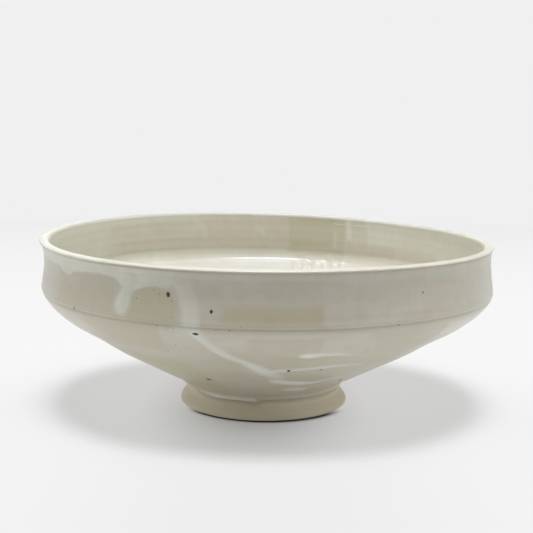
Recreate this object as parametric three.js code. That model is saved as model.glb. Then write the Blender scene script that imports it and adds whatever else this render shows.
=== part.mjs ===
// Stoneware serving bowl: a wheel-thrown body with a collar above a wide shoulder, a rounded lip,
// and a flared foot ring that is luted under it with slip. Glaze covers all but the foot.
// Millimetres, +Z up. The origin is the middle of the foot's base.
//
// The clay pieces are turned outlines. Each glaze coat is a turned skin that follows the clay's own
// outline, so it lies on the clay all over. The glaze runs are raised strips on the outer coat.

import * as THREE from 'three';

// Overall sizes, over the glaze
const rimDiameter = 240;
const bowlHeight = 91.6;

// Lip
const lipWidth = 5;          // across the rounded lip
const lipRise = 2.9;         // from the crease under the lip up to its top
const creaseInset = 1.3;     // how far the crease lies inside the lip's reach

// Collar, from the crease down to the belly, which is its widest line
const collarHeight = 21;
const bellyInset = 0.4;      // how far the belly lies inside the lip's reach
const collarHollow = 0.7;    // how far the collar is drawn in between belly and crease

// Wall, shoulder and floor, in clay
const shoulderRadius = 13.5;
const shoulderSlope = 36;    // degrees from level, where the shoulder runs into the wall
const footSlope = 27.5;      // degrees from level, where the wall meets the foot
const collarWall = 4.5;
const footWall = 6.5;
const floorThickness = 7.5;
const wellDiameter = 120;    // where the curved floor runs into the wall

// Foot ring
const footDiameter = 90.6;   // across its widest line
const footEdgeHeight = 1.6;  // that line's height above the base
const footEdgeRound = 1.8;   // how far the rounded edge draws in to the base
const waistInset = 3.7;      // how far the waist is drawn in from the widest line
const waistHeight = 8.7;
const neckRadius = 6.6;      // hollow between the waist and the wall
const waistWall = 3.8;       // thickness of the ring at its waist
const innerEdge = 1;         // bevel on the ring's inner edge
const recessHeight = 9;      // from the base up to the flat underside within the ring

// Slip bed and glaze
const slipThickness = 0.6;
const outerCoat = 0.6;
const innerCoat = 0.6;
const lipCoat = 0.7;
const glazeLine = 10;        // height of the outer glaze's lower edge
const bond = 0.02;           // clearance between faces that are fired together
const runSeat = 0.2;         // clearance between the outer coat's flat sides and a run on it

// Number of flat sides round the bowl
const facets = 48;

// Glaze runs on the outer coat. A run's path is a list of places, each the degrees round the bowl,
// counted from the front (-Y) towards +X, and a mark on the coat: 0 at the crease under the lip, 1
// at the belly and 2 at the coat's lower edge. The widths at a run's two ends and its height are
// shares of the usual ones.
const runWidth = 4;
const runHeight = 0.7;
const glazeRuns = [
  {
    name: 'collar_tear_run',
    widths: [0.35, 1.2],
    height: 0.85,
    path: [[-28.5, 0.1], [-29.1, 0.27], [-30.6, 0.49], [-32.2, 0.69], [-33.1, 0.86]],
  },
  {
    name: 'collar_streak_run',
    widths: [1.75, 1.25],
    height: 0.7,
    path: [[-21, 0.07], [-20.3, 0.37], [-19, 0.58], [-17.3, 0.82], [-15.5, 1.004], [-14, 1.04]],
  },
  {
    name: 'wall_diagonal_run',
    widths: [0.9, 1],
    height: 1,
    path: [[-15, 1.08], [-11.2, 1.14], [-6, 1.28], [-0.3, 1.41], [7, 1.57]],
  },
  {
    name: 'upper_wave_run',
    widths: [0.75, 1],
    height: 1.15,
    path: [[9.5, 1.6], [13.5, 1.58], [18.8, 1.567], [24.5, 1.564], [31, 1.572]],
  },
  {
    name: 'lower_wave_run',
    widths: [0.85, 0.6],
    height: 1.15,
    path: [[11, 1.7], [15, 1.755], [20, 1.795], [28, 1.81], [38, 1.82]],
  },
  {
    name: 'shoulder_run',
    widths: [0.65, 0.8],
    height: 0.85,
    path: [[8.4, 1.21], [13.4, 1.217], [19.9, 1.222], [27.3, 1.237]],
  },
  {
    name: 'foot_glaze_roll', // thickened lower edge of the coat, up to the drip where it ends
    widths: [0.3, 0.55],
    height: 1.15,
    path: [[-46, 1.986], [-35.6, 1.986], [-25.3, 1.986], [-15, 1.986], [-4.6, 1.986]],
  },
];

// Section of a run as shares of half its width and of its height: two edges with the point under
// its middle between them, then three points over it
const runSection = [[-1, 0], [0, 0], [1, 0], [0.6, 0.8], [0, 1], [-0.6, 0.8]];
const runTip = 0.25;         // share of its width that a run keeps at each tip
const runTaper = 8;          // the higher, the shorter the stretch in which a run narrows
const runSteps = 3;          // from one place of a run's path to the next

// Colours
const bareClay = { color: 0xa89e84, roughness: 0.9 };
const slip = { color: 0x9c917a, roughness: 0.9 };
const outerGlaze = { color: 0xb9b5a2, roughness: 0.22 };
const innerGlaze = { color: 0xc2bda6, roughness: 0.2 };
const lipGlaze = { color: 0xdedbcd, roughness: 0.25 };
const runGlaze = { color: 0xc9c8bd, roughness: 0.18 };

// Sizes that follow from those above
const rimRadius = rimDiameter / 2;
const creaseHeight = bowlHeight - lipRise;
const creaseRadius = rimRadius - creaseInset - outerCoat;
const bellyHeight = creaseHeight - collarHeight;
const bellyRadius = rimRadius - bellyInset - outerCoat;
const footRadius = footDiameter / 2;
const waistRadius = footRadius - waistInset;
const ringInnerRadius = waistRadius - waistWall;
const footTangent = Math.tan(THREE.MathUtils.degToRad(footSlope));

const at = (radius, height) => new THREE.Vector2(radius, height);

// The lip's clay is an ellipse that the crease cuts off, and its coat is the same ellipse grown.
const lipAcross = lipWidth / 2 - lipCoat;
const lipMiddle = rimRadius - lipWidth / 2;
const lipCut = Math.acos((creaseRadius - lipMiddle) / lipAcross);
const lipUp = (lipRise - lipCoat) / (1 + Math.sin(lipCut));
const innerCrease = at(lipMiddle - lipAcross, creaseHeight);

// Points of an ellipse's arc, a circle's where both half sizes are alike.
function arc(centre, across, up, fromDegrees, toDegrees, steps) {
  const points = [];
  for (let i = 0; i <= steps; i++) {
    const angle = THREE.MathUtils.degToRad(fromDegrees + ((toDegrees - fromDegrees) * i) / steps);
    points.push(at(centre.x + across * Math.cos(angle), centre.y + up * Math.sin(angle)));
  }
  return points;
}

// Unit vector to the left of an outline at one of its points.
function leftOf(outline, i) {
  const before = outline[Math.max(i - 1, 0)];
  const after = outline[Math.min(i + 1, outline.length - 1)];
  const here = outline[i];
  const left = at(0, 0);
  for (const [a, b] of [[before, here], [here, after]]) {
    const length = a.distanceTo(b);
    if (length > 0) left.add(at((a.y - b.y) / length, (b.x - a.x) / length));
  }
  return left.normalize();
}

// An outline moved to its left, by one distance or by each point's own. A minus sign moves it right.
function moved(outline, distance) {
  return outline.map((p, i) => {
    const by = Array.isArray(distance) ? distance[i] : distance;
    return p.clone().addScaledVector(leftOf(outline, i), by);
  });
}

// An outline that rises, split at a height. Both halves hold the point at that height.
function splitAt(outline, height) {
  const next = outline.findIndex((p) => p.y > height);
  const low = outline[next - 1];
  const share = (height - low.y) / (outline[next].y - low.y);
  const cut = low.clone().lerp(outline[next], share);
  return [[...outline.slice(0, next), cut], [cut, ...outline.slice(next)]];
}

// Outline of the foot's outside, from its widest line up over the waist and neck to the joint.
function footFace() {
  const flankSteps = 3;
  const flank = [];
  for (let i = 0; i < flankSteps; i++) {
    const share = i / flankSteps;
    const radius = THREE.MathUtils.lerp(footRadius, waistRadius, THREE.MathUtils.smoothstep(share, 0, 1));
    flank.push(at(radius, THREE.MathUtils.lerp(footEdgeHeight, waistHeight, share)));
  }
  const neckCentre = at(waistRadius + neckRadius, waistHeight);
  return [...flank, ...arc(neckCentre, neckRadius, neckRadius, 180, 90 + footSlope, 4)];
}

// Outline of the body's outside, from the joint up the wall, round the shoulder and up the collar.
function bodyFace(joint) {
  const shoulderCentre = at(bellyRadius - shoulderRadius, bellyHeight);
  const shoulder = arc(shoulderCentre, shoulderRadius, shoulderRadius, shoulderSlope - 90, 0, 4);
  const top = shoulder[0];
  const handle = joint.distanceTo(top) / 3;
  const heading = (degrees) => at(1, 0).rotateAround(at(0, 0), THREE.MathUtils.degToRad(degrees));
  const wall = new THREE.CubicBezierCurve(
    joint,
    joint.clone().addScaledVector(heading(footSlope), handle),
    top.clone().addScaledVector(heading(shoulderSlope), -handle),
    top,
  ).getPoints(5);
  const collar = [];
  const collarSteps = 3;
  for (let i = 1; i <= collarSteps; i++) {
    const share = i / collarSteps;
    const straight = THREE.MathUtils.lerp(bellyRadius, creaseRadius, share);
    const hollow = 4 * collarHollow * share * (1 - share);
    collar.push(at(straight - hollow, THREE.MathUtils.lerp(bellyHeight, creaseHeight, share)));
  }
  return [...wall.slice(0, -1), ...shoulder, ...collar];
}

// Outline of the body's inside, from the middle of the floor up to the crease under the lip.
function wellFace(outside) {
  const belly = outside.findIndex((p) => p.y >= bellyHeight);
  const last = outside.length - 1;
  const lipWall = creaseRadius - innerCrease.x;
  const depths = outside.map((p, i) =>
    i <= belly
      ? THREE.MathUtils.mapLinear(i, 0, belly, footWall, collarWall)
      : THREE.MathUtils.mapLinear(i, belly, last, collarWall, lipWall),
  );
  const wall = moved(outside, depths)
    .slice(0, -1)
    .filter((p) => p.x > wellDiameter / 2);
  const edge = wall[0];
  const rise = wall[1].clone().sub(edge).normalize();
  const floorHeight = recessHeight + floorThickness;
  const floor = new THREE.CubicBezierCurve(
    at(0, floorHeight),
    at(edge.x / 2, floorHeight),
    edge.clone().addScaledVector(rise, -edge.x / 3),
    edge,
  ).getPoints(5);
  return [...floor.slice(0, -1), ...wall, innerCrease];
}

// Outline of the lip, grown by a distance, from the crease outside over the top to the inside.
function lipFace(growth) {
  const centre = at(lipMiddle, bowlHeight - lipCoat - lipUp);
  const across = lipAcross + growth;
  const up = lipUp + growth;
  const start = THREE.MathUtils.radToDeg(Math.asin((centre.y - creaseHeight) / up));
  return [...arc(centre, across, up, -start, 0, 2), ...arc(centre, across, up, 0, 180, 4).slice(1)];
}

// The body's underside above the foot ring, from the ring's inner face out to the joint.
function seatFace(joint, flatRadius) {
  const onSlope = joint.y - (joint.x - ringInnerRadius) * footTangent;
  const innerEnd = at(ringInnerRadius, Math.max(recessHeight, onSlope));
  const corner = flatRadius > ringInnerRadius ? [at(flatRadius, recessHeight)] : [];
  return [innerEnd, ...corner, joint];
}

// The outlines that the pieces share
const outsideOfFoot = footFace();
const neckTop = outsideOfFoot.at(-1);
const joint = at(neckTop.x, neckTop.y + slipThickness);
const flatRadius = joint.x - (joint.y - recessHeight) / footTangent;
const [bareFoot, glazedFoot] = splitAt(outsideOfFoot, glazeLine);
const seat = seatFace(joint, flatRadius);
const outside = bodyFace(joint);
const inside = wellFace(outside);

// An outline lowered or raised without a change of radius.
const lifted = (outline, by) => outline.map((p) => at(p.x, p.y + by));

// The outer coat's outline at a distance from the clay, from its lower edge up to the crease.
function outerFace(distance) {
  const line = moved([...glazedFoot, ...outside], -distance);
  return [...line.slice(0, -1), at(creaseRadius + distance, creaseHeight - bond)];
}

// The inner coat's outline at a distance from the clay, from the middle of the floor to the crease.
function innerFace(distance) {
  const wall = moved(inside, distance).slice(1, -1);
  const top = at(innerCrease.x - distance, creaseHeight - bond);
  return [at(0, inside[0].y + distance), ...wall, top];
}

function material({ color, roughness }) {
  return new THREE.MeshStandardMaterial({ color, roughness, metalness: 0 });
}

// A solid of revolution about Z. The outline runs from axis to axis, or it is a loop.
function turned(name, outline, finish) {
  const loop = outline[0].x > 0 ? [...outline, outline[0]] : outline;
  const points = THREE.ShapeUtils.area(loop) > 0 ? loop : loop.reverse();
  const geometry = new THREE.LatheGeometry(points, facets).rotateX(Math.PI / 2);
  const mesh = new THREE.Mesh(geometry, material(finish));
  mesh.name = name;
  return mesh;
}

function bowlBody() {
  const underside = [at(0, recessHeight), at(flatRadius, recessHeight)];
  const profile = [...underside, ...outside, ...lipFace(0).slice(1), ...inside.toReversed()];
  return turned('bowl_body', profile, bareClay);
}

function footRing() {
  const edgeCentre = at(footRadius - footEdgeRound, footEdgeHeight);
  const edge = arc(edgeCentre, footEdgeRound, footEdgeHeight, -90, 0, 2);
  const base = [at(ringInnerRadius, innerEdge), at(ringInnerRadius + innerEdge, 0)];
  const face = [...bareFoot.slice(1), ...glazedFoot.slice(1, -1)];
  const top = lifted(seat, -slipThickness).toReversed();
  return turned('foot_ring', [...base, ...edge, ...face, ...top], bareClay);
}

function footSlip() {
  const top = lifted(seat, -bond).toReversed();
  return turned('foot_slip', [...lifted(seat, bond - slipThickness), ...top], slip);
}

function outerCoatSkin() {
  const profile = [...outerFace(outerCoat), ...outerFace(bond).toReversed()];
  return turned('outer_glaze', profile, outerGlaze);
}

function innerCoatSkin() {
  const profile = [...innerFace(bond), ...innerFace(innerCoat).toReversed()];
  return turned('inner_glaze', profile, innerGlaze);
}

function lipCoatSkin() {
  const outerEnd = at(creaseRadius + outerCoat, creaseHeight);
  const innerEnds = [at(innerCrease.x - innerCoat, creaseHeight), at(innerCrease.x - bond, creaseHeight)];
  const profile = [outerEnd, ...lipFace(lipCoat), ...innerEnds, ...lipFace(bond).toReversed()];
  return turned('lip_glaze', profile, lipGlaze);
}

// The outer coat's face by its marks: a place on it, the way out of it and the length of one mark.
function coatRuler() {
  const down = outerFace(outerCoat).toReversed();
  const belly = down.findIndex((p) => p.y <= bellyHeight);
  const lengths = [0];
  for (let i = 1; i < down.length; i++) lengths.push(lengths[i - 1] + down[i].distanceTo(down[i - 1]));
  const toBelly = lengths[belly];
  const fromBelly = lengths.at(-1) - toBelly;
  const marks = lengths.map((l) => (l < toBelly ? l / toBelly : 1 + (l - toBelly) / fromBelly));
  return (mark) => {
    const i = THREE.MathUtils.clamp(marks.findIndex((m) => m > mark) - 1, 0, down.length - 2);
    const share = (mark - marks[i]) / (marks[i + 1] - marks[i]);
    const place = down[i].clone().lerp(down[i + 1], share);
    const out = leftOf(down, i).lerp(leftOf(down, i + 1), share).normalize();
    return { place, out, markLength: mark < 1 ? toBelly : fromBelly };
  };
}

// The share of the full radius that the bowl's flat sides have at an angle round it.
function sideShare(angle) {
  const side = (2 * Math.PI) / facets;
  const fromMiddle = THREE.MathUtils.euclideanModulo(angle, side) - side / 2;
  return Math.cos(side / 2) / Math.cos(fromMiddle);
}

// A raised run of glaze along a path of angles and marks, with narrowed, closed ends.
function glazeRun({ name, widths, height, path }) {
  const ruler = coatRuler();
  const steps = runSteps * (path.length - 1);
  const curve = new THREE.CatmullRomCurve3(
    path.map(([angle, mark]) => new THREE.Vector3(angle, mark, 0)),
  );
  const positions = [];
  for (let i = 0; i <= steps; i++) {
    const share = i / steps;
    const spot = curve.getPoint(share);
    const ahead = curve.getTangent(share);
    const { place: middle, markLength } = ruler(spot.y);
    const arcPerDegree = THREE.MathUtils.degToRad(1) * middle.x;
    const heading = at(ahead.x * arcPerDegree, ahead.y * markLength).normalize();
    const full = Math.sqrt(1 - (1 - runTip ** 2) * Math.abs(2 * share - 1) ** runTaper);
    const halfWidth = (full * runWidth * THREE.MathUtils.lerp(...widths, share)) / 2;
    for (const [side, lift] of runSection) {
      const across = side * halfWidth;
      const { place, out } = ruler(spot.y + (across * heading.x) / markLength);
      const angle = THREE.MathUtils.degToRad(spot.x - (across * heading.y) / arcPerDegree);
      const rise = runSeat + lift * height * runHeight * full;
      const radius = place.x * sideShare(angle) + out.x * rise;
      positions.push(radius * Math.sin(angle), -radius * Math.cos(angle), place.y + out.y * rise);
    }
  }
  const sides = runSection.length;
  const faces = [];
  for (let i = 0; i < steps; i++) {
    for (let j = 0; j < sides; j++) {
      const a = i * sides + j;
      const b = i * sides + ((j + 1) % sides);
      faces.push(a, a + sides, b, b, a + sides, b + sides);
    }
  }
  const tail = steps * sides;
  for (let j = 1; j < sides - 1; j++) {
    faces.push(0, j, j + 1);
    faces.push(tail, tail + j + 1, tail + j);
  }
  const geometry = new THREE.BufferGeometry();
  geometry.setAttribute('position', new THREE.Float32BufferAttribute(positions, 3));
  geometry.setIndex(faces);
  geometry.computeVertexNormals();
  const mesh = new THREE.Mesh(geometry, material(runGlaze));
  mesh.name = name;
  return mesh;
}

const bowl = new THREE.Group();
bowl.add(bowlBody(), footSlip(), footRing());
bowl.add(innerCoatSkin(), outerCoatSkin(), lipCoatSkin());
bowl.add(...glazeRuns.map(glazeRun));

export default bowl;
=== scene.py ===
"""Looks of the stoneware bowl: turned surfaces under a pale glaze, on a pale floor in soft light.

Outlines and reliefs are in millimetres, and a mesh is made in metres. Angles round the bowl are
degrees counted from the front (-Y) towards +X. Every piece is drawn round and level first, and then
swayed: the thrown bowl's rim tilts a little and its wall leans.
"""

import math
from functools import partialmethod

import bpy
import numpy as np
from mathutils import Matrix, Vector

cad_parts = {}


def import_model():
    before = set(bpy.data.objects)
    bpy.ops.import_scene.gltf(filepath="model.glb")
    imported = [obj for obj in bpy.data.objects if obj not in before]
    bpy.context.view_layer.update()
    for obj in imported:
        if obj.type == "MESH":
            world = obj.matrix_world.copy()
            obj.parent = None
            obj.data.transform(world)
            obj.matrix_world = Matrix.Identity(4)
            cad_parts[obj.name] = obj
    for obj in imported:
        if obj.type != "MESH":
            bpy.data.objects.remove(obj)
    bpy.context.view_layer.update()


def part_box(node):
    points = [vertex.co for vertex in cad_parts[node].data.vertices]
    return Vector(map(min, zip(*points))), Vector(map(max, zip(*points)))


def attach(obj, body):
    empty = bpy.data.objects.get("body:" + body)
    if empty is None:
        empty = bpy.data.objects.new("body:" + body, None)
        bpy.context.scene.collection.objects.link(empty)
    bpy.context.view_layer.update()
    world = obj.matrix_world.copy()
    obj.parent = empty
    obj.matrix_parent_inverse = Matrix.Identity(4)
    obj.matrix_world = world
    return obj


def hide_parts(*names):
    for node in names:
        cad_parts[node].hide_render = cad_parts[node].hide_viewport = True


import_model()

MM = 0.001

# Sizes from the frame
SHRINK = 0.9945  # the outlines' share of the frame's, which leaves room for the sway
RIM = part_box("lip_glaze")[1].x / MM * SHRINK
RIM_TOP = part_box("lip_glaze")[1].z / MM
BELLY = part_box("outer_glaze")[1].x / MM * SHRINK
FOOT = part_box("foot_ring")[1].x / MM * SHRINK
JOINT_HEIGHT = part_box("foot_slip")[1].z / MM

# Sway of the thrown form
TILT = 1.12  # how much higher than its middle the rim stands at the left
NOD = 0.45  # how much higher it stands at the back
DRAWN_OUT = 0.825  # how much the rim rises and falls twice round
DRAWN_ANGLE = 31.8  # where one of its two rises is
SWAY_TOP = 1.86  # the highest that all three together lift the rim
LEAN_HEIGHTS = (0, 10, 25, 45, 65, 88)
LEANS = (-0.6, -1, -1.05, -0.25, 0.68, 0.1)  # how far the bowl leans to the right at each height
RIM_MEAN = RIM_TOP - SWAY_TOP

# Outline of the outside, over the glaze
COAT = 0.6
LIP_RISE = 1.8
LIP_WIDTH = 5
LIP_DEPTH = 3.6  # how far below the well's end the lip's bead meets the inner wall
CREASE_INSET = 0.95
COLLAR_HEIGHT = 20.9
COLLAR_TURN = 11  # how far the shoulder's arc runs on past upright, and the crease's flare
SHOULDER_RADIUS = 15.3
SHOULDER_SLOPE = 36
FOOT_SLOPE = 27.5
CREASE_HEIGHT = RIM_MEAN - LIP_RISE
CREASE = RIM - CREASE_INSET
BELLY_HEIGHT = CREASE_HEIGHT - COLLAR_HEIGHT

# Outline of the foot ring, in clay
WAIST_INSET = 3.68
WAIST_HEIGHT = 8.65
NECK_RADIUS = 6.5
FOOT_EDGE_HEIGHT = 1.05
FOOT_EDGE_ROUND = 0.5
FOOT_UNDERCUT = 2.9  # how far in from the widest line the ring stands on the table
WAIST_WALL = 3.8
INNER_EDGE = 1
RECESS_HEIGHT = 9
WAIST = FOOT - WAIST_INSET
RECESS = WAIST - WAIST_WALL

# Well
WALL_AT_FOOT = 7.7
WALL_AT_BELLY = 5.7
FLOOR_HEIGHT = 17.1
FLOOR_REACH = 60  # radius at which the curved floor has run into the wall

# How thick the glaze lies on the lip, by degrees from the front: on its outer half and its inner half
# The lip is laid paler at the left partly as painted light from that side, and darker at the back.
LIP_THICK = (
    (-180, 0.6, 0.6), (-140, 0.75, 0.75), (-115, 1, 1.1), (-90, 1.2, 1.3), (-60, 1.05, 1.4), (-45, 1, 1.2),
    (-30, 0.95, 0), (-15, 1, 0.85), (0, 0.95, 0.75), (15, 0.95, 0.95), (23, 0.95, 0.6), (30, 0.92, 0),
    (52, 0.85, 0), (62, 0.72, 0.5), (90, 1.05, 1.1), (115, 0.95, 0.9), (140, 0.7, 0.7), (180, 0.6, 0.6),
)

# The lip's section: steps from the widest radius and from the rim's height
LIP_PLACES = (
    (-0.62, -1.62), (-0.2, -1.4), (0, -1.08), (-0.2, -0.74), (-0.7, -0.46), (-1.4, -0.25), (-2.2, -0.1),
    (-3.1, 0), (-3.8, -0.12), (-4.35, -0.5), (-4.7, -1.15), (-4.88, -2), (-4.97, -3.1),
)


def arc(centre, across, up, start, end, count):
    """Points of an ellipse's arc: the centre plus the half sizes times cosine and sine."""
    turn = np.radians(np.linspace(start, end, count))
    return np.c_[centre[0] + across * np.cos(turn), centre[1] + up * np.sin(turn)]


def bell(values, middle, reach):
    """A bell curve: e to the power of minus the square of (value - middle) / reach."""
    return np.exp(-((values - middle) / reach) ** 2)


def bezier(first, second, third, last, count):
    """Points of a cubic curve between two ends, pulled towards two handles."""
    t = np.linspace(0, 1, count)[:, None]
    ends = (1 - t) ** 3 * np.array(first) + t ** 3 * np.array(last)
    return ends + 3 * t * (1 - t) ** 2 * np.array(second) + 3 * t ** 2 * (1 - t) * np.array(third)


def heading(degrees):
    turn = math.radians(degrees)
    return np.array([math.cos(turn), math.sin(turn)])


class Outline:
    """A line in the plane of radius and height, read by the distance along it."""

    def __init__(self, *stretches):
        points = np.concatenate(stretches)
        apart = np.r_[True, np.hypot(*np.diff(points, axis=0).T) > 1e-4]
        self.points = points[apart]
        self.marks = np.r_[0, np.cumsum(np.hypot(*np.diff(self.points, axis=0).T))]
        self.length = self.marks[-1]
        along = np.gradient(self.points, self.marks, axis=0)
        along /= np.hypot(*along.T)[:, None]
        self.out = np.c_[along[:, 1], -along[:, 0]]

    def read(self, distance, lift=0):
        """Radius and height at a distance, moved off the line by a lift to its right."""
        radius, height, out_r, out_z = (
            np.interp(distance, self.marks, column)
            for column in (*self.points.T, *self.out.T)
        )
        return radius + lift * out_r, height + lift * out_z

    def at_height(self, height):
        """Distance at which the line first reaches a height."""
        return self.marks[np.argmax(self.points[:, 1] >= height)]


def sweep(start, leaving, end, arriving, count):
    """A cubic curve that leaves its start at one heading and reaches its end at another."""
    handle = np.hypot(*(end - start)) / 3
    return bezier(start, start + handle * heading(leaving), end - handle * heading(arriving), end, count)


def outer_outline():
    """The glazed outside from the waist up: neck arc, wall curve, shoulder arc, hollowed collar."""
    bend = NECK_RADIUS - COAT
    neck = arc((WAIST + NECK_RADIUS, WAIST_HEIGHT), bend, bend, 180, 90 + FOOT_SLOPE, 40)
    centre = (BELLY - SHOULDER_RADIUS, BELLY_HEIGHT)
    shoulder = arc(centre, SHOULDER_RADIUS, SHOULDER_RADIUS, SHOULDER_SLOPE - 90, COLLAR_TURN, 90)
    wall = sweep(neck[-1] + (0, COAT), FOOT_SLOPE, shoulder[0], SHOULDER_SLOPE, 200)
    crease = np.array([CREASE, CREASE_HEIGHT])
    collar = sweep(shoulder[-1], 90 + COLLAR_TURN, crease, 90 - COLLAR_TURN, 120)
    return Outline(neck, wall, shoulder, collar)


def well_outline(outside):
    """The glazed inside from the middle of the floor up: floor curve, then the outside moved in by
    a wall that thins evenly from foot to belly, then almost straight up to the lip."""
    belly = outside.at_height(BELLY_HEIGHT)
    distance = np.linspace(outside.at_height(JOINT_HEIGHT), belly, 400)
    wall = np.interp(distance, (distance[0], belly), (WALL_AT_FOOT, WALL_AT_BELLY))
    inner = np.stack(outside.read(distance, -wall), axis=1)
    inner = inner[inner[:, 0] > FLOOR_REACH]
    rise = inner[4] - inner[0]
    rise /= np.hypot(*rise)
    middle, edge = (0, FLOOR_HEIGHT), inner[0]
    floor = bezier(middle, (edge[0] / 2, FLOOR_HEIGHT), edge - rise * edge[0] / 3, edge, 160)
    start, end = inner[-1], np.array([RIM - LIP_WIDTH - 0.05, CREASE_HEIGHT])
    third = (end - start) / 3
    upright = bezier(start, start + (0, third[1]), end - third, end, 120)
    return Outline(floor, inner, upright)


def lip_outline(well):
    """The lip's bead from the crease over its outer round and its top, which falls inwards, down
    to the inner wall: a smooth curve through the places of its section."""
    inner_r, inner_z = well.read(well.length - LIP_DEPTH)
    places = [(CREASE - 0.55, CREASE_HEIGHT - 0.1), (CREASE + 0.02, CREASE_HEIGHT + 0.02)]
    places += [(RIM + aside, RIM_MEAN + above) for aside, above in LIP_PLACES]
    places += [(inner_r + 0.1, inner_z), (inner_r + 0.6, inner_z - 0.6)]
    places = np.array(places)
    knots = np.arange(len(places), dtype=float)
    t = np.linspace(0, knots[-1], 200)
    return Outline(np.stack([curve_through(knots, column, t) for column in places.T], axis=1))


def foot_outline():
    """The foot ring in clay, from its inner top corner down, across the base, out to its edge, which
    is undercut, and up the outside."""
    inner = np.array([[RECESS, RECESS_HEIGHT + 0.8], [RECESS, INNER_EDGE]])
    bevel = arc((RECESS + INNER_EDGE, INNER_EDGE), INNER_EDGE, INNER_EDGE, 180, 270, 8)
    base = np.array([[FOOT - FOOT_UNDERCUT, 0]])
    edge = arc((FOOT - FOOT_EDGE_ROUND, FOOT_EDGE_HEIGHT), FOOT_EDGE_ROUND, FOOT_EDGE_ROUND, -72, 0, 12)
    t = np.linspace(0, 1, 60)
    radius = FOOT - WAIST_INSET * (3 * t ** 2 - 2 * t ** 3)
    flank = np.c_[radius, FOOT_EDGE_HEIGHT + (WAIST_HEIGHT - FOOT_EDGE_HEIGHT) * t]
    neck = arc((WAIST + NECK_RADIUS, WAIST_HEIGHT), NECK_RADIUS, NECK_RADIUS, 180, 95 + FOOT_SLOPE, 30)
    return Outline(inner, bevel, base, edge, flank, neck)


def sway(x, y, z):
    """The bowl's lean and tilt. Heights change by their share of the rim's height times a fall to
    the right and to the front plus a wave that goes twice round. x moves by a curve of the height."""
    share = np.clip(z / RIM_MEAN, 0, None)
    angle = np.arctan2(x, -y)
    twice = DRAWN_OUT * np.cos(2 * (angle - math.radians(DRAWN_ANGLE)))
    reach = np.clip(np.hypot(x, y) / RIM, 0, 1)
    lean = np.polyval(np.polyfit(LEAN_HEIGHTS, LEANS, 4), np.clip(z, 0, RIM_MEAN))
    return x + lean, y, z + share * (twice * reach - TILT * x / RIM + NOD * y / RIM)


def spaced(count, length, fine=()):
    """Distances along a line, closer together near each (place, reach, gain) of the fine places."""
    fine_grid = np.linspace(0, length, 4000)
    density = np.ones_like(fine_grid)
    for place, reach, gain in fine:
        density += gain * bell(fine_grid, place, reach)
    total = np.r_[0, np.cumsum((density[1:] + density[:-1]) / 2)]
    return np.interp(np.linspace(0, total[-1], count), total, fine_grid)


def placed(name, data):
    """A new object in the scene."""
    made = bpy.data.objects.new(name, data)
    bpy.context.scene.collection.objects.link(made)
    return made


def surface(name, radius, height, angles, attributes=None, capped=False):
    """A closed turned mesh from grids of radius and height over rows and angles. Rows run on from
    the last to the first, or each of the two end rows is closed by a point on the axis."""
    turn = np.radians(angles)
    radius, height = np.broadcast_arrays(radius, height)
    x, y, z = sway(radius * np.sin(turn), -radius * np.cos(turn), height + 0 * turn)
    rows, columns = x.shape
    points = np.stack([x, y, z], axis=-1).reshape(-1, 3)
    across = np.arange(columns)
    nxt = (across + 1) % columns
    low = np.arange(rows - 1 if capped else rows)[:, None] * columns
    high = (low + columns) % (rows * columns)
    quads = np.stack([low + across, low + nxt, high + nxt, high + across], axis=-1).reshape(-1, 4)
    corners, starts = quads.ravel(), np.arange(len(quads)) * 4
    if capped:
        poles = np.array([(0, 0, height[row].mean()) for row in (0, -1)])
        pole = np.full(columns, len(points))
        top = (rows - 1) * columns
        fans = np.r_[np.c_[nxt, across, pole], np.c_[top + across, top + nxt, pole + 1]]
        points = np.r_[points, np.transpose(sway(*poles.T))]
        starts = np.r_[starts, len(corners) + np.arange(len(fans)) * 3]
        corners = np.r_[corners, fans.ravel()]
    mesh = bpy.data.meshes.new(name)
    mesh.vertices.add(len(points))
    mesh.vertices.foreach_set("co", (points * MM).ravel())
    mesh.loops.add(len(corners))
    mesh.loops.foreach_set("vertex_index", corners.astype(np.int32))
    mesh.polygons.add(len(starts))
    mesh.polygons.foreach_set("loop_start", starts.astype(np.int32))
    mesh.polygons.foreach_set("use_smooth", np.ones(len(starts), bool))
    mesh.update(calc_edges=True)
    for label, values in (attributes or {}).items():
        values = np.broadcast_to(values, (rows, columns)).ravel()
        values = np.r_[values, np.full(len(points) - len(values), values[0])]
        mesh.attributes.new(label, "FLOAT", "POINT").data.foreach_set("value", values.astype(np.float32))
    mesh.set_sharp_from_angle(angle=math.radians(50))
    return placed(name, mesh)


def round_the_bowl(count):
    return np.arange(count) * 360 / count


def signed(angles):
    """Angles as degrees from -180 to 180."""
    return (np.asarray(angles) + 180) % 360 - 180


def column_at(table, angles, column=1):
    """A table's column at angles from the front, straight between its rows."""
    rows = np.array(table)
    return np.interp(angles, rows[:, 0], rows[:, column])


def padded(attributes, count):
    """Attributes with each one's last row repeated over the rows of a mesh that don't show."""
    return {label: np.pad(rows, ((0, count), (0, 0)), "edge") for label, rows in attributes.items()}


# How the thrown and glazed surfaces vary

# The outer coat's lower edge over the foot: degrees from the front and height
GLAZE_EDGE = (
    (-180, 10.6), (-150, 10.2), (-120, 10.9), (-90, 12.2), (-75, 13.6), (-62, 13), (-56, 11.2), (-46, 9.8),
    (-36, 9.3), (-26, 9.5), (-16, 9.7), (-9, 9.3), (-4.6, 9.1), (-2.4, 9.7), (-0.4, 10.5), (12, 10.6),
    (27, 10.3), (50, 10.3), (82, 10.4), (110, 10.9), (140, 10.2), (165, 10.5), (180, 10.6),
)

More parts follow.
